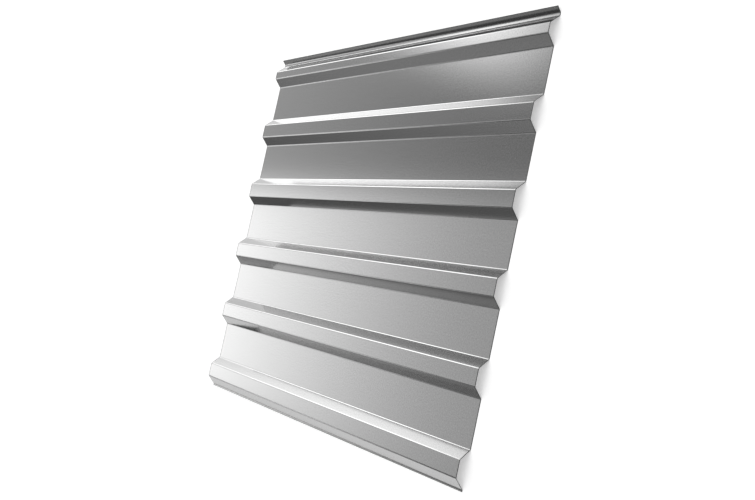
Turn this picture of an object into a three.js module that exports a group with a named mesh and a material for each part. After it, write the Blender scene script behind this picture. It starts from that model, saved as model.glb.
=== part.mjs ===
// Roll-formed metal sheet with trapezoidal ribs, for roofs, walls and fences.
// It lies ribs up on a level floor: X runs along the ribs, Y across them and Z up.
// The origin is on the floor, under the middle of the sheet.
import * as THREE from "three";

// Driving dimensions, in millimetres. Every width and height is taken between the
// sharp corners of the metal's middle plane, as if the bends had no radius.
const sheetLength = 1300;
const metalThickness = 0.6;
const ribPitch = 205; // from one rib to the next
const ribHeight = 25; // from a valley up to a crest
const crestWidth = 42;
const webRun = 24; // how far a sloping web reaches across the sheet
const underlapCrestWidth = 24.5; // crest of the narrow rib that the next sheet's last rib covers
const drainWidth = 8; // flat strip between the narrow rib and its lip
const lipHeight = 12.5; // the lip stands as steeply as the webs
const footWidth = 4.5; // flat hem beyond the last wide rib
const bendRadius = 5; // of the middle plane

// Counts
const wideRibs = 5; // each with a valley after it
const bendFacets = 4; // straight facets that stand for one round bend

// Sizes that follow
const valleyWidth = ribPitch - crestWidth - 2 * webRun;
const lipRun = (lipHeight * webRun) / ribHeight;

// The middle plane's corners seen from the sheet's end, from the foot to the lip.
function profileCorners() {
  const corners = [new THREE.Vector2(0, 0)];

  function advance(across, up) {
    const last = corners.at(-1);
    corners.push(new THREE.Vector2(last.x + across, last.y + up));
  }

  function addRib(crest) {
    advance(webRun, ribHeight);
    advance(crest, 0);
    advance(webRun, -ribHeight);
  }

  advance(footWidth, 0);
  for (let rib = 0; rib < wideRibs; rib++) {
    addRib(crestWidth);
    advance(valleyWidth, 0);
  }
  addRib(underlapCrestWidth);
  advance(drainWidth, 0);
  advance(lipRun, lipHeight);
  return corners;
}

const quarterTurn = Math.PI / 2;

function unitAt(angle) {
  return new THREE.Vector2(Math.cos(angle), Math.sin(angle));
}

// One bend as stations, each a point on the middle line and the direction to the sheet's top side.
function bendStations(before, corner, after) {
  const angleIn = corner.clone().sub(before).angle();
  const angleOut = after.clone().sub(corner).angle();
  // the turn is brought into -180 to 180 degrees
  const turn = Math.atan2(Math.sin(angleOut - angleIn), Math.cos(angleOut - angleIn));
  const side = Math.sign(turn);
  const tangent = bendRadius * Math.tan(Math.abs(turn) / 2);
  const start = corner.clone().addScaledVector(unitAt(angleIn), -tangent);
  const centre = start.clone().addScaledVector(unitAt(angleIn + quarterTurn), side * bendRadius);

  const stations = [];
  for (let i = 0; i <= bendFacets; i++) {
    const up = unitAt(angleIn + (turn * i) / bendFacets + quarterTurn);
    stations.push({ point: centre.clone().addScaledVector(up, -side * bendRadius), up });
  }
  return stations;
}

// The square cut at a free edge of the profile.
function edgeStation(edge, from, to) {
  return { point: edge.clone(), up: unitAt(to.clone().sub(from).angle() + quarterTurn) };
}

// The closed outline of the metal: its underside from foot to lip, and its top side back.
function metalOutline() {
  const corners = profileCorners();
  const last = corners.length - 1;
  const stations = [edgeStation(corners[0], corners[0], corners[1])];
  for (let i = 1; i < last; i++) {
    stations.push(...bendStations(corners[i - 1], corners[i], corners[i + 1]));
  }
  stations.push(edgeStation(corners[last], corners[last - 1], corners[last]));

  const half = metalThickness / 2;
  const underside = stations.map(({ point, up }) => point.clone().addScaledVector(up, -half));
  const topSide = stations.map(({ point, up }) => point.clone().addScaledVector(up, half));
  return [...underside, ...topSide.reverse()];
}

function profiledSheet() {
  const outline = metalOutline();
  const geometry = new THREE.ExtrudeGeometry(new THREE.Shape(outline), {
    depth: sheetLength,
    bevelEnabled: false,
  });
  const coatedSteel = new THREE.MeshStandardMaterial({
    color: 0xbfc1c3,
    roughness: 0.35,
    metalness: 1,
  });
  const mesh = new THREE.Mesh(geometry, coatedSteel);
  mesh.name = "profiled_sheet";

  // the outline's axes become Y and Z, and the extrusion runs along X
  const bounds = new THREE.Box2().setFromPoints(outline);
  mesh.rotation.set(quarterTurn, quarterTurn, 0);
  mesh.position.set(-sheetLength / 2, -bounds.getCenter(new THREE.Vector2()).x, -bounds.min.y);
  return mesh;
}

const sheet = new THREE.Group();
sheet.add(profiledSheet());

export default sheet;
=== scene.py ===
"""A trapezoidal profiled metal sheet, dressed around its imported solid. It lies ribs up on a pale floor."""

import math

import bpy
import numpy as np
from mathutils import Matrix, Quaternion, Vector


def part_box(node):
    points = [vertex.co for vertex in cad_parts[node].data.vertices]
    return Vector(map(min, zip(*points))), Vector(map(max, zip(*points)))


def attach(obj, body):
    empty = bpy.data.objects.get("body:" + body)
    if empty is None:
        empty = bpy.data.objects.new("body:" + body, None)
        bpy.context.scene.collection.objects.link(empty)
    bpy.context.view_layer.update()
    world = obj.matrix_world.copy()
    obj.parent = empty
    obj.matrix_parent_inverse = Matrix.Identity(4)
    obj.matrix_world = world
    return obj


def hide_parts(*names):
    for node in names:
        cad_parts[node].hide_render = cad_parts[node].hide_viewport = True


bl_info = {
    "name": "Profiled Metal Sheet",
    "version": (1, 0, 0),
    "blender": (4, 5, 0),
    "location": "View3D > Sidebar > Profiled Sheet",
    "description": "Builds a roll-formed trapezoidal metal sheet and a pale stage to look at it on",
    "category": "Add Mesh",
}

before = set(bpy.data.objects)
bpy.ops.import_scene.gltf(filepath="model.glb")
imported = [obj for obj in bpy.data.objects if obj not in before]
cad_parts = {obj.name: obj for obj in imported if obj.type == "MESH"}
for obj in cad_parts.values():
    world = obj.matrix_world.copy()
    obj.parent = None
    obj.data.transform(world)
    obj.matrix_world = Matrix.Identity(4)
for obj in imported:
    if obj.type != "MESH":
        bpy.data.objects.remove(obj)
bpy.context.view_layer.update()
NODE = "profiled_sheet"
node_low, node_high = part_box(NODE)

MM = 0.001
RINGS = 4  # rings of vertices along the sheet
FLOOR_SIDES = 96
SENSOR_WIDTH = 36  # of the camera, in millimetres
LEAST_HEIGHT = 0.01  # smallest Z that a direction's Y is divided by


class SheetSizes(bpy.types.PropertyGroup):
    """Sizes of the profile, between the sharp corners of the metal's middle plane."""

    length: bpy.props.FloatProperty(
        name="Length", description="Length along the ribs", unit="LENGTH", default=node_high.x - node_low.x)
    rib_pitch: bpy.props.FloatProperty(
        name="Rib Pitch", description="From one rib to the next", unit="LENGTH", default=205 * MM)
    rib_height: bpy.props.FloatProperty(
        name="Rib Height", description="From a valley up to a crest", unit="LENGTH", default=25 * MM)
    crest_width: bpy.props.FloatProperty(
        name="Crest Width", description="Flat top of a wide rib", unit="LENGTH", default=42 * MM)
    web_run: bpy.props.FloatProperty(
        name="Web Run", description="How far a sloping web reaches across", unit="LENGTH", default=24 * MM)
    narrow_crest: bpy.props.FloatProperty(
        name="Narrow Crest", description="Flat top of the rib that goes under the next sheet",
        unit="LENGTH", default=24.5 * MM)
    drain_width: bpy.props.FloatProperty(
        name="Drain Width", description="Flat strip between the narrow rib and its lip",
        unit="LENGTH", default=8 * MM)
    lip_height: bpy.props.FloatProperty(
        name="Lip Height", description="Height of the raised edge", unit="LENGTH", default=12.5 * MM)
    foot_width: bpy.props.FloatProperty(
        name="Foot Width", description="Flat hem beyond the last wide rib", unit="LENGTH", default=4.5 * MM)
    thickness: bpy.props.FloatProperty(
        name="Thickness", description="Thickness of the metal", unit="LENGTH", default=0.6 * MM)
    bend_radius: bpy.props.FloatProperty(
        name="Bend Radius", description="Radius of the middle plane in a bend",
        unit="LENGTH", default=5 * MM)
    edge_ease: bpy.props.FloatProperty(
        name="Edge Ease", description="Flat taken off the sharp cut edges", unit="LENGTH", default=0.1 * MM)
    wide_ribs: bpy.props.IntProperty(
        name="Wide Ribs", description="Ribs with a full crest, each with a valley after it", default=5)
    bend_steps: bpy.props.IntProperty(
        name="Bend Steps", description="Strips of mesh round one bend", default=10)


def numbers(name, description, values):
    """A property that holds a few numbers in a row, in the order that its description gives."""
    size = len(values)
    return bpy.props.FloatVectorProperty(name=name, description=description, size=size, default=values)


class StudioLight(bpy.types.PropertyGroup):
    """Levels of the studio's dome, where 1 is white, and the places of its lights in degrees of azimuth and
    elevation."""

    dim_levels: numbers("Dim Levels", "Dim side by the floor, a little up, and high up", (0.12, 0.42, 0.12))
    dim_rise: numbers("Dim Rise", "Elevations from the first level to the second", (4, 16))
    dim_fall: numbers("Dim Fall", "Elevations from the second level to the third", (12, 24))
    gap_levels: numbers("Gap Levels", "Between strip and window, low and high", (0.9, 0.26))
    gap_rise: numbers("Gap Rise", "Elevations from the low level to the high", (10, 44))
    wall_turn: numbers("Wall Turn", "Azimuths from the dim side to the gap", (-10, 5))
    strip_edges: numbers("Strip Edges", "Its two edges, as Y over height", (-0.28, 0.233))
    strip_softness: numbers("Strip Softness", "Half width of each edge", (0.02, 0.043))
    strip_levels: numbers("Strip Levels", "Far end and near end", (4.7, 0.62))
    strip_rise: numbers("Strip Rise", "Elevations from the far level to the near", (0, 44))
    strip_foot: numbers("Strip Foot", "Elevations over which its far end fades in", (12, 23))
    window_left: bpy.props.FloatProperty(
        name="Window Left", description="Azimuth of its edge", default=20.5)
    window_heights: numbers("Window Heights", "Elevations of its bottom and top", (5, 38))
    window_softness: numbers("Window Softness", "Half width of left, bottom and top edge", (3.5, 3, 4.5))
    window_level: bpy.props.FloatProperty(
        name="Window", description="Level of the window before it dims", default=2.45)
    window_fade: numbers("Window Fade", "Azimuths over which it dims", (29, 49))
    window_far: bpy.props.FloatProperty(
        name="Window Far", description="Share of its level left past the fade", default=0.29)
    window_slant: numbers(
        "Window Slant", "Azimuth past which its top falls, and degrees down for each degree on", (29, 2))
    fill_place: numbers("Fill Place", "Middle of the lamp on the dim side", (-23, 22))
    fill_reach: numbers("Fill Reach", "Half width and half height", (16, 9))
    fill_level: bpy.props.FloatProperty(
        name="Fill", description="Level of the lamp on the dim side", default=2.2)
    horizon: bpy.props.FloatProperty(
        name="Horizon", description="Level of the plain dome by the floor", default=1.0)
    plain_levels: numbers("Plain Levels", "The plain dome higher up, at -Y and at +Y", (0.6, 1.15))
    plain_turn: numbers(
        "Plain Turn", "Y of the directions over which it goes from one to the other", (-0.7, 0.7))
    plain_rise: numbers("Plain Rise", "Elevations from the horizon's level to the higher ones", (4, 16))
    shaped_middle: bpy.props.FloatProperty(
        name="Shaped Middle", description="Azimuth of the middle of the shaped part", default=-4.0)
    shaped_slope: bpy.props.FloatProperty(
        name="Shaped Slope", description="How far it narrows, in degrees for each degree up", default=0.6)
    shaped_fade: numbers("Shaped Fade", "How far from its middle it fades out, by the floor", (53, 63))
    overhead: bpy.props.FloatProperty(
        name="Overhead", description="Level overhead", default=1.25)
    overhead_rise: numbers("Overhead Rise", "Elevations from the lower lights to overhead", (52, 70))


class SheetFinish(bpy.types.PropertyGroup):
    """Colour, gloss and grain of the metal, and the shade painted dark along its cut edges."""

    coat_colour: bpy.props.FloatVectorProperty(
        name="Coating", description="Colour of the metal coating", subtype="COLOR", size=3,
        min=0, max=1, default=(0.45, 0.45, 0.45))
    roughness: bpy.props.FloatProperty(
        name="Roughness", description="Blur of the coating's reflections", min=0, max=1, default=0.12)
    roughness_spread: bpy.props.FloatProperty(
        name="Roughness Spread", description="How far the grain moves the roughness up and down",
        default=0.02)
    edge_tint: bpy.props.FloatProperty(
        name="Edge Tint", description="Tint of reflections seen at a flat angle", min=0, max=1, default=0.9)
    grain_size: bpy.props.FloatProperty(
        name="Grain Size", description="Size of the coating's crystals", unit="LENGTH", default=4 * MM)
    grain_depth: bpy.props.FloatProperty(
        name="Grain Depth", description="How far the tone goes from darkest to middle", default=0.2)
    grain_height: bpy.props.FloatProperty(
        name="Grain Height", description="Height of the bump", unit="LENGTH", default=0.003 * MM)
    line_length: bpy.props.FloatProperty(
        name="Line Length", description="Length of a rolling line", unit="LENGTH", default=120 * MM)
    line_width: bpy.props.FloatProperty(
        name="Line Width", description="Width of a rolling line", unit="LENGTH", default=0.8 * MM)
    line_share: bpy.props.FloatProperty(
        name="Line Share", description="Share of the lines in the grain", min=0, max=1, default=0.25)
    # Painted shade: the cut faces get this near-black colour, which stands in for the shade along the cut
    # edges.
    edge_shade_colour: bpy.props.FloatVectorProperty(
        name="Cut Edge", description="Colour of the metal at a cut", subtype="COLOR", size=3,
        min=0, max=1, default=(0.05, 0.05, 0.05))
    edge_roughness: bpy.props.FloatProperty(
        name="Cut Edge Roughness", description="Blur of the cut edge's reflections",
        min=0, max=1, default=0.5)
    # Painted shade: within these widths of the ends and the long sides the coating is painted dark as a
    # shaded outline, and its roughness is raised.
    end_shade_width: bpy.props.FloatProperty(
        name="End Width", description="How far in from an end the cut has dulled the coating",
        unit="LENGTH", default=2.5 * MM)
    side_shade_width: bpy.props.FloatProperty(
        name="Side Width", description="How far in from a long side the cut has dulled it",
        unit="LENGTH", default=1.4 * MM)


class StageSettings(bpy.types.PropertyGroup):
    """Floor and camera."""

    floor_colour: bpy.props.FloatVectorProperty(
        name="Floor", description="Colour of the floor", subtype="COLOR", size=3,
        min=0, max=1, default=(0.8, 0.8, 0.8))
    floor_glow: bpy.props.FloatProperty(
        name="Floor Glow", description="Lifts the lit floor to white, where it is looked at", default=0.32)
    floor_roughness: bpy.props.FloatProperty(
        name="Floor Roughness", description="Blur of the floor's reflections", min=0, max=1, default=0.9)
    floor_radius: bpy.props.FloatProperty(
        name="Floor Radius", description="Radius of the round floor", unit="LENGTH", default=200.0)
    floor_gap: bpy.props.FloatProperty(
        name="Floor Gap", description="How far the floor lies under the sheet",
        unit="LENGTH", default=0.2 * MM)
    camera_place: bpy.props.FloatVectorProperty(
        name="Camera", description="Where the camera stands", subtype="TRANSLATION", unit="LENGTH",
        size=3, default=(2.2306, -0.2146, 1.4504))
    camera_target: bpy.props.FloatVectorProperty(
        name="Target", description="Point of the floor that it looks at", subtype="TRANSLATION",
        unit="LENGTH", size=3, default=(0.1271, -0.0461, 0.0))
    camera_roll: bpy.props.FloatProperty(
        name="Roll", description="Turn of the camera about its line of sight", unit="ROTATION",
        default=math.radians(-75.23))
    lens: bpy.props.FloatProperty(
        name="Lens", description="Focal length on a sensor 36 mm wide", unit="CAMERA", default=45.087)


def profile_corners(sizes):
    """The middle plane's sharp corners across the sheet, as (across, up) rows from foot to lip.
    Each step is a run across and a rise up, and the corners are the running sum of the steps."""
    web_up = (sizes.web_run, sizes.rib_height)
    web_down = (sizes.web_run, -sizes.rib_height)
    valley = sizes.rib_pitch - sizes.crest_width - 2 * sizes.web_run
    wide_rib = [web_up, (sizes.crest_width, 0), web_down, (valley, 0)]
    narrow_rib = [web_up, (sizes.narrow_crest, 0), web_down]
    lip = (sizes.lip_height * sizes.web_run / sizes.rib_height, sizes.lip_height)
    steps = [(0, 0), (sizes.foot_width, 0)] + wide_rib * sizes.wide_ribs + narrow_rib
    return np.cumsum(steps + [(sizes.drain_width, 0), lip], axis=0)


def rounded_profile(corners, radius, bend_steps):
    """Stations along the middle plane with its bends rounded, and at each the unit normal of the top side.
    A bend is an arc of the given radius tangent to both straights: it starts radius * tan(turn / 2) before
    the corner, and a point on it is centre - side * radius * normal, with the normal turning evenly."""
    straight = np.diff(corners, axis=0)
    heading = np.arctan2(straight[:, 1], straight[:, 0])
    turn = np.diff(heading)
    side = np.sign(turn)
    tangent = radius * np.tan(np.abs(turn) / 2)
    along = np.column_stack([np.cos(heading), np.sin(heading)])
    normal = np.column_stack([-np.sin(heading), np.cos(heading)])
    start = corners[1:-1] - along[:-1] * tangent[:, None]
    centre = start + normal[:-1] * (side * radius)[:, None]
    share = np.linspace(0, 1, bend_steps + 1)
    angle = heading[:-1, None] + turn[:, None] * share + math.pi / 2
    up = np.stack([np.cos(angle), np.sin(angle)], axis=-1)
    arc = centre[:, None, :] - up * (side * radius)[:, None, None]
    points = np.vstack([corners[:1], arc.reshape(-1, 2), corners[-1:]])
    ups = np.vstack([normal[:1], up.reshape(-1, 2), normal[-1:]])
    return points, ups


def make_mesh(name, vertices, faces):
    """A mesh object at the origin, unturned, in the scene."""
    mesh = bpy.data.meshes.new(name)
    mesh.from_pydata(vertices.tolist(), [], faces.tolist())
    mesh.validate()
    piece = bpy.data.objects.new(name, mesh)
    bpy.context.scene.collection.objects.link(piece)
    return piece


def face_normals(vertices, faces):
    """Unit cross product of each quad's diagonals."""
    corner = vertices[faces]
    cross = np.cross(corner[:, 2] - corner[:, 0], corner[:, 3] - corner[:, 1])
    return cross / np.linalg.norm(cross, axis=1)[:, None]


def eased_profile(sizes):
    """The rounded profile's points and normals, with one more station an edge ease in from each end, and the
    developed width up to each station, which is the running sum of the distances between them."""
    points, ups = rounded_profile(profile_corners(sizes), sizes.bend_radius, sizes.bend_steps)
    ease = sizes.edge_ease
    inset_first = points[0] + (points[1] - points[0]) * ease / np.linalg.norm(points[1] - points[0])
    inset_last = points[-1] + (points[-2] - points[-1]) * ease / np.linalg.norm(points[-2] - points[-1])
    points = np.vstack([points[:1], inset_first, points[1:-1], inset_last, points[-1:]])
    ups = np.vstack([ups[:1], ups[:1], ups[1:-1], ups[-1:], ups[-1:]])
    width = np.concatenate([[0], np.cumsum(np.linalg.norm(np.diff(points, axis=0), axis=1))])
    return points, ups, width


def sheet_vertices(sizes, points, ups):
    """Rings of vertices at the sheet's two ends and an edge ease in from each. A ring is a closed loop, the
    underside from foot to lip and the top side back. A vertex stands half the thickness off its station,
    along the normal. That half is an edge ease less in the outermost rings and at the foot's and the lip's
    edge, which takes the sharpness off every cut edge."""
    ease = sizes.edge_ease
    places = np.array([-0.5, -0.5, 0.5, 0.5]) * sizes.length + np.array([0, ease, -ease, 0])
    half = np.full((RINGS, len(points)), sizes.thickness / 2)
    half[[0, -1]] -= ease
    half[:, [0, -1]] = sizes.thickness / 2 - ease
    widest = np.vstack([points - ups * sizes.thickness / 2, points + ups * sizes.thickness / 2])
    shift = np.array([(node_low.y + node_high.y) / 2 - (widest[:, 0].min() + widest[:, 0].max()) / 2,
                      node_low.z - widest[:, 1].min()])
    middle = points + shift
    offset = ups * half[:, :, None]
    loops = np.concatenate([middle - offset, (middle + offset)[:, ::-1]], axis=1)
    along = np.broadcast_to(places[:, None, None], (RINGS, 2 * len(points), 1))
    return np.concatenate([along, loops], axis=2).reshape(-1, 3)


def sheet_faces(count):
    """Quads round the loop from each ring to the next, and quads across the metal that close both ends. With
    count stations, the top side's vertex over vertex i of the underside is 2 * count - 1 - i."""
    around = 2 * count
    vertex = np.arange(around)
    following = (vertex + 1) % around
    ring = np.arange(RINGS - 1)[:, None] * around
    walls = np.stack([ring + vertex, ring + following, ring + following + around, ring + vertex + around],
                     axis=-1).reshape(-1, 4)
    under = np.arange(count - 1)
    cap = np.column_stack([under, around - 1 - under, around - 2 - under, under + 1])
    return np.vstack([walls, cap, cap[:, ::-1] + (RINGS - 1) * around])


def sheet_normals(vertices, faces, ups):
    """A normal for each corner of each face. Between the two inner rings and off the eased edges it is the
    profile's own, so that a bend shades as a true arc, and elsewhere it is the face's."""
    count = len(ups)
    around = 2 * count
    outward = np.column_stack([np.zeros(around), np.vstack([-ups, ups[::-1]])])
    smooth = np.zeros(len(faces), bool)
    smooth[around:2 * around] = np.isin(np.arange(around), np.r_[1:count - 2, count + 1:around - 2])
    normals = np.repeat(face_normals(vertices, faces)[:, None], 4, axis=1)
    normals[smooth] = np.tile(outward, (RINGS, 1))[faces[smooth]]
    return normals.reshape(-1, 3)


def build_sheet(sizes):
    """The sheet as one closed skin round its metal, and its developed width. The UV map holds metres: X
    along the ribs, and the developed width from the foot's edge."""
    points, ups, width = eased_profile(sizes)
    vertices = sheet_vertices(sizes, points, ups)
    faces = sheet_faces(len(points))
    piece = make_mesh("coated_sheet", vertices, faces)
    mesh = piece.data
    mesh.shade_smooth()
    mesh.normals_split_custom_set(sheet_normals(vertices, faces, ups).tolist())
    developed = np.tile(np.concatenate([width, width[::-1]]), RINGS)
    uv = np.column_stack([vertices[:, 0], developed])[faces.ravel()]
    mesh.uv_layers.new(name="metres").uv.foreach_set("vector", uv.astype(np.float32).ravel())
    return piece, width[-1]


def feed(tree, socket, value):
    """Links the value to the socket if it is a socket itself, and otherwise writes it there."""
    if isinstance(value, bpy.types.NodeSocket):
        tree.links.new(value, socket)
    else:
        socket.default_value = value


def maths(tree, operation, *values):
    """What a Math node puts out. Each value is a number or a socket."""
    node = tree.nodes.new("ShaderNodeMath")
    node.operation = operation
    for socket, value in zip(node.inputs, values):
        feed(tree, socket, value)
    return node.outputs["Value"]


def vector_maths(tree, operation, *values):
    """What a Vector Math node puts out. Each value is a tuple or a socket."""
    node = tree.nodes.new("ShaderNodeVectorMath")
    node.operation = operation
    for socket, value in zip(node.inputs, values):
        feed(tree, socket, value)
    return node.outputs["Value" if operation == "LENGTH" else "Vector"]


def soft_step(tree, value, start, end, low=0.0, high=1.0):
    """A smooth change from low to high while the value goes from start to end."""
    node = tree.nodes.new("ShaderNodeMapRange")
    node.interpolation_type = "SMOOTHSTEP"
    names = ("Value", "From Min", "From Max", "To Min", "To Max")
    for name, number in zip(names, (value, start, end, low, high)):
        feed(tree, node.inputs[name], number)
    return node.outputs["Result"]


def soft_edge(tree, value, place, softness):
    """A smooth change from 0 to 1 where the value passes the place, its softness wide to either side."""
    return soft_step(tree, value, place - softness, place + softness)


def blend(tree, share, low, high):
    """Low where the share is 0, high where it is 1."""
    node = tree.nodes.new("ShaderNodeMix")
    feed(tree, node.inputs["Factor"], share)
    feed(tree, node.inputs["A"], low)
    feed(tree, node.inputs["B"], high)
    return node.outputs["Result"]


def blend_colour(tree, share, low, high):
    """The colour low where the share is 0, and high where it is 1."""
    node = tree.nodes.new("ShaderNodeMix")
    node.data_type = "RGBA"
    feed(tree, node.inputs["Factor"], share)
    first, second = [socket for socket in node.inputs if socket.name in "AB" and socket.enabled]
    feed(tree, first, low)
    feed(tree, second, high)
    return next(socket for socket in node.outputs if socket.enabled)


def noise(tree, place, size_x, size_y):
    """Smooth noise around 0.5, its blotches about the given size along each axis of the place."""
    node = tree.nodes.new("ShaderNodeTexNoise")
    node.noise_dimensions = "2D"
    node.inputs["Scale"].default_value = 1
    feed(tree, node.inputs["Vector"], vector_maths(tree, "MULTIPLY", place, (1 / size_x, 1 / size_y, 0)))
    return node.outputs["Fac"]


def coated_steel(finish, sizes, developed):
    """A metal coating with a fine crystal grain in its tone, gloss and height, and faint lines along the
    rolling direction. The cut edges, and a narrow band beside them, are dull, and painted dark as shade
    along the cut edges."""
    material = bpy.data.materials.new("coated_steel")
    material.use_nodes = True
    tree = material.node_tree
    shader = tree.nodes["Principled BSDF"]
    metres = tree.nodes.new("ShaderNodeUVMap")
    metres.uv_map = "metres"
    place = metres.outputs["UV"]

    grain = noise(tree, place, finish.grain_size, finish.grain_size)
    lines = noise(tree, place, finish.line_length, finish.line_width)
    mottle = blend(tree, finish.line_share, grain, lines)

    split = tree.nodes.new("ShaderNodeSeparateXYZ")
    tree.links.new(place, split.inputs[0])
    past_end = maths(tree, "SUBTRACT", maths(tree, "ABSOLUTE", split.outputs["X"]), sizes.length / 2)
    off_middle = maths(tree, "ABSOLUTE", maths(tree, "SUBTRACT", split.outputs["Y"], developed / 2))
    past_side = maths(tree, "SUBTRACT", off_middle, developed / 2)
    # Painted shade: mask of the cut faces and a narrow band beside them, which are painted near-black as the
    # shade along the cut edges.
    painted_edge_shade = maths(tree, "MAXIMUM", soft_step(tree, past_end, -finish.end_shade_width, -finish.end_shade_width / 2),
                 soft_step(tree, past_side, -finish.side_shade_width, -finish.side_shade_width / 2))

    dark, pale = (tuple(value * tone for value in finish.coat_colour) + (1,)
                  for tone in (1 - finish.grain_depth, 1 + finish.grain_depth))
    coat = blend_colour(tree, mottle, dark, pale)
    # Painted shade: the edge mask blends the coating into the dark shade colour.
    tree.links.new(blend_colour(tree, painted_edge_shade, coat, (*finish.edge_shade_colour, 1)), shader.inputs["Base Color"])
    gloss = soft_step(tree, mottle, 0, 1, finish.roughness - finish.roughness_spread,
                      finish.roughness + finish.roughness_spread)
    tree.links.new(blend(tree, painted_edge_shade, gloss, finish.edge_roughness), shader.inputs["Roughness"])
    shader.inputs["Metallic"].default_value = 1
    shader.inputs["Specular Tint"].default_value = (*[finish.edge_tint] * 3, 1)
    bump = tree.nodes.new("ShaderNodeBump")
    bump.inputs["Distance"].default_value = finish.grain_height
    tree.links.new(mottle, bump.inputs["Height"])
    tree.links.new(bump.outputs["Normal"], shader.inputs["Normal"])
    return material


def soft_spot(tree, angles, centre, reach, level):
    """An oval light that fades smoothly to nothing: level * (1 - smoothstep(distance / reach))."""
    away = vector_maths(tree, "DIVIDE", vector_maths(tree, "SUBTRACT", angles, (*centre, 0)), (*reach, 1))
    return soft_step(tree, vector_maths(tree, "LENGTH", away), 0, 1, level, 0)


def wall_level(tree, light, azimuth, elevation):
    """The dome behind the lights: dim towards -Y, with a lamp of its own there, and the gap towards +Y."""
    low, middle, high = light.dim_levels
    dim = maths(tree, "SUBTRACT", soft_step(tree, elevation, *light.dim_rise, low, middle),
                soft_step(tree, elevation, *light.dim_fall, 0, middle - high))
    gap = soft_step(tree, elevation, *light.gap_rise, *light.gap_levels)
    wall = blend(tree, soft_step(tree, azimuth, *light.wall_turn), dim, gap)
    angles = tree.nodes.new("ShaderNodeCombineXYZ")
    tree.links.new(azimuth, angles.inputs["X"])
    tree.links.new(elevation, angles.inputs["Y"])
    fill = soft_spot(tree, angles.outputs["Vector"], light.fill_place, light.fill_reach, light.fill_level)
    return maths(tree, "ADD", wall, fill)


def strip_share(tree, light, y, z, elevation):
    """The strip of light, 1 inside it and 0 outside. It hangs over the sheet along its length, so its edges
    are lines of constant Y / Z."""
    sideways = maths(tree, "DIVIDE", y, maths(tree, "MAXIMUM", z, LEAST_HEIGHT))
    left, right = light.strip_edges
    left_softness, right_softness = light.strip_softness
    strip = maths(tree, "SUBTRACT", soft_edge(tree, sideways, left, left_softness),
                  soft_edge(tree, sideways, right, right_softness))
    return maths(tree, "MULTIPLY", strip, soft_step(tree, elevation, *light.strip_foot))


def window_level(tree, light, azimuth, elevation):
    """The window's light, which adds to the wall's. It has a left edge, a bottom and a top, and dims towards
    +Y. Past the slant's start its top comes down: elevation + slant * (azimuth - start) stays below it."""
    bottom, top = light.window_heights
    left_softness, bottom_softness, top_softness = light.window_softness
    slant_start, slant = light.window_slant
    past = maths(tree, "MAXIMUM", maths(tree, "SUBTRACT", azimuth, slant_start), 0)
    raised = maths(tree, "MULTIPLY_ADD", past, slant, elevation)
    below_top = soft_step(tree, raised, top - top_softness, top + top_softness, 1, 0)
    window = maths(tree, "MULTIPLY", soft_edge(tree, elevation, bottom, bottom_softness), below_top)
    window = maths(tree, "MULTIPLY", window, soft_edge(tree, azimuth, light.window_left, left_softness))
    dimmed = soft_step(tree, azimuth, *light.window_fade, light.window_level,
                       light.window_level * light.window_far)
    return maths(tree, "MULTIPLY", window, dimmed)


def plain_level(tree, light, y, elevation):
    """The plain dome: one level by the floor, and higher up a smooth change from the -Y side to +Y."""
    side = soft_step(tree, y, *light.plain_turn, *light.plain_levels)
    return blend(tree, soft_step(tree, elevation, *light.plain_rise), light.horizon, side)


def studio_world(light):
    """A plain pale dome with lights shaped into it beyond the sheet's far end, for the metal to mirror.
    Angles are in degrees: azimuth runs from the far end, -X, towards +Y, and elevation up from the floor.
    Where |azimuth - middle| + slope * elevation is past the fade, the dome is plain, and overhead it has one
    level. Camera and transmission rays see it plain white."""
    world = bpy.data.worlds.new("studio")
    world.use_nodes = True
    tree = world.node_tree
    direction = tree.nodes.new("ShaderNodeTexCoord").outputs["Generated"]
    split = tree.nodes.new("ShaderNodeSeparateXYZ")
    tree.links.new(direction, split.inputs[0])
    x, y, z = split.outputs
    azimuth = maths(tree, "DEGREES", maths(tree, "ARCTAN2", y, maths(tree, "MULTIPLY", x, -1)))
    elevation = maths(tree, "DEGREES", maths(tree, "ARCSINE", z))

    strip = strip_share(tree, light, y, z, elevation)
    strip_level = soft_step(tree, elevation, *light.strip_rise, *light.strip_levels)
    shaped = blend(tree, strip, wall_level(tree, light, azimuth, elevation), strip_level)
    shaped = maths(tree, "ADD", shaped, window_level(tree, light, azimuth, elevation))

    away = maths(tree, "ABSOLUTE", maths(tree, "SUBTRACT", azimuth, light.shaped_middle))
    away = maths(tree, "MULTIPLY_ADD", elevation, light.shaped_slope, away)
    plain = plain_level(tree, light, y, elevation)
    level = blend(tree, soft_step(tree, away, *light.shaped_fade), shaped, plain)
    level = blend(tree, soft_step(tree, elevation, *light.overhead_rise), level, light.overhead)

    rays = tree.nodes.new("ShaderNodeLightPath")
    seen = maths(tree, "MAXIMUM", rays.outputs["Is Camera Ray"], rays.outputs["Is Transmission Ray"])
    background = tree.nodes["Background"]
    background.inputs["Color"].default_value = (1, 1, 1, 1)
    tree.links.new(blend(tree, seen, level, 1), background.inputs["Strength"])
    return world


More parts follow.
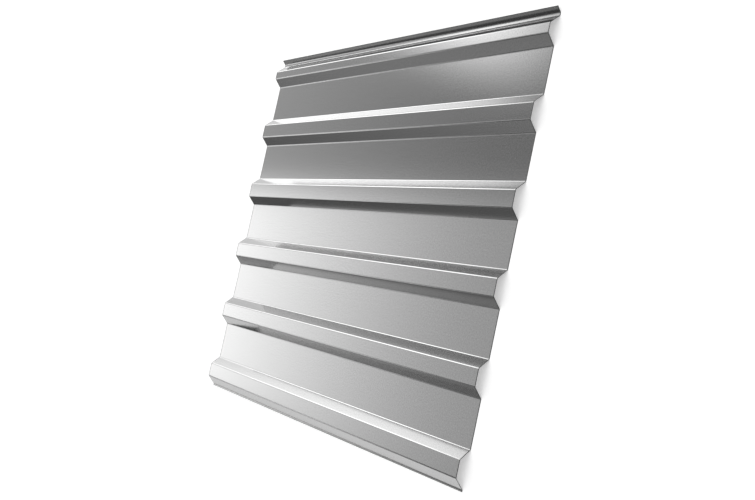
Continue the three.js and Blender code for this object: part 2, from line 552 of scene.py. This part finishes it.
def build_floor(stage):
    """A round floor, its rim at radius * (cos, sin). A faint glow that only camera, glossy and transmission
    rays see lifts it to white and keeps the sheet's shadow."""
    angle = np.linspace(0, math.tau, FLOOR_SIDES, endpoint=False)
    rim = np.column_stack([np.cos(angle), np.sin(angle), 0 * angle]) * stage.floor_radius
    rim[:, 2] = node_low.z - stage.floor_gap
    floor = make_mesh("floor", rim, np.arange(FLOOR_SIDES)[None, :])
    material = bpy.data.materials.new("pale_floor")
    material.use_nodes = True
    tree = material.node_tree
    shader = tree.nodes["Principled BSDF"]
    shader.inputs["Base Color"].default_value = (*stage.floor_colour, 1)
    shader.inputs["Roughness"].default_value = stage.floor_roughness
    shader.inputs["Emission Color"].default_value = (1, 1, 1, 1)
    rays = tree.nodes.new("ShaderNodeLightPath")
    seen = maths(tree, "MAXIMUM", rays.outputs["Is Camera Ray"], rays.outputs["Is Glossy Ray"])
    seen = maths(tree, "MAXIMUM", seen, rays.outputs["Is Transmission Ray"])
    tree.links.new(maths(tree, "MULTIPLY", seen, stage.floor_glow), shader.inputs["Emission Strength"])
    floor.data.materials.append(material)
    return floor


def place_camera(stage):
    """A camera that looks from its place at its target, level at first and then rolled about that line."""
    camera_data = bpy.data.cameras.new("camera")
    camera_data.lens = stage.lens
    camera_data.sensor_width = SENSOR_WIDTH
    camera = bpy.data.objects.new("camera", camera_data)
    bpy.context.scene.collection.objects.link(camera)
    camera.location = stage.camera_place
    sight = Vector(stage.camera_target) - Vector(stage.camera_place)
    camera.rotation_mode = "QUATERNION"
    camera.rotation_quaternion = sight.to_track_quat("-Z", "Y") @ Quaternion((0, 0, 1), stage.camera_roll)
    return camera


class SHEET_OT_sheet(bpy.types.Operator):
    """Builds the sheet over its CAD solid and gives it its finish"""

    bl_idname = "profiled_sheet.sheet"
    bl_label = "Sheet"

    def execute(self, context):
        sizes = context.scene.sheet_sizes
        piece, developed = build_sheet(sizes)
        piece.data.materials.append(coated_steel(context.scene.sheet_finish, sizes, developed))
        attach(piece, "root")
        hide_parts(NODE)
        return {"FINISHED"}


class SHEET_OT_stage(bpy.types.Operator):
    """Lays the floor and sets the lights and the camera"""

    bl_idname = "profiled_sheet.stage"
    bl_label = "Stage"

    def execute(self, context):
        scene = context.scene
        floor = build_floor(scene.sheet_stage)
        scene.world = studio_world(scene.studio_light)
        scene.camera = place_camera(scene.sheet_stage)
        scene.view_settings.view_transform = "Standard"
        return {"FINISHED"}


class SHEET_PT_panel(bpy.types.Panel):
    """Lists the sheet's operators and sizes"""

    bl_idname = "SHEET_PT_panel"
    bl_label = "Profiled Sheet"
    bl_space_type = "VIEW_3D"
    bl_region_type = "UI"
    bl_category = "Profiled Sheet"

    def draw(self, context):
        scene = context.scene
        for settings in (scene.sheet_sizes, scene.sheet_finish, scene.sheet_stage, scene.studio_light):
            for name in settings.bl_rna.properties.keys():
                if name not in {"rna_type", "name"}:
                    self.layout.prop(settings, name)
        self.layout.operator(SHEET_OT_sheet.bl_idname)
        self.layout.operator(SHEET_OT_stage.bl_idname)


CLASSES = (SheetSizes, SheetFinish, StageSettings, StudioLight, SHEET_OT_sheet, SHEET_OT_stage,
           SHEET_PT_panel)


def register():
    for cls in CLASSES:
        bpy.utils.register_class(cls)
    bpy.types.Scene.sheet_sizes = bpy.props.PointerProperty(type=SheetSizes)
    bpy.types.Scene.sheet_finish = bpy.props.PointerProperty(type=SheetFinish)
    bpy.types.Scene.sheet_stage = bpy.props.PointerProperty(type=StageSettings)
    bpy.types.Scene.studio_light = bpy.props.PointerProperty(type=StudioLight)


def unregister():
    del bpy.types.Scene.studio_light
    del bpy.types.Scene.sheet_stage
    del bpy.types.Scene.sheet_finish
    del bpy.types.Scene.sheet_sizes
    for cls in reversed(CLASSES):
        bpy.utils.unregister_class(cls)


def main():
    register()
    bpy.ops.profiled_sheet.sheet()
    bpy.ops.profiled_sheet.stage()


if __name__ == "__main__":
    main()
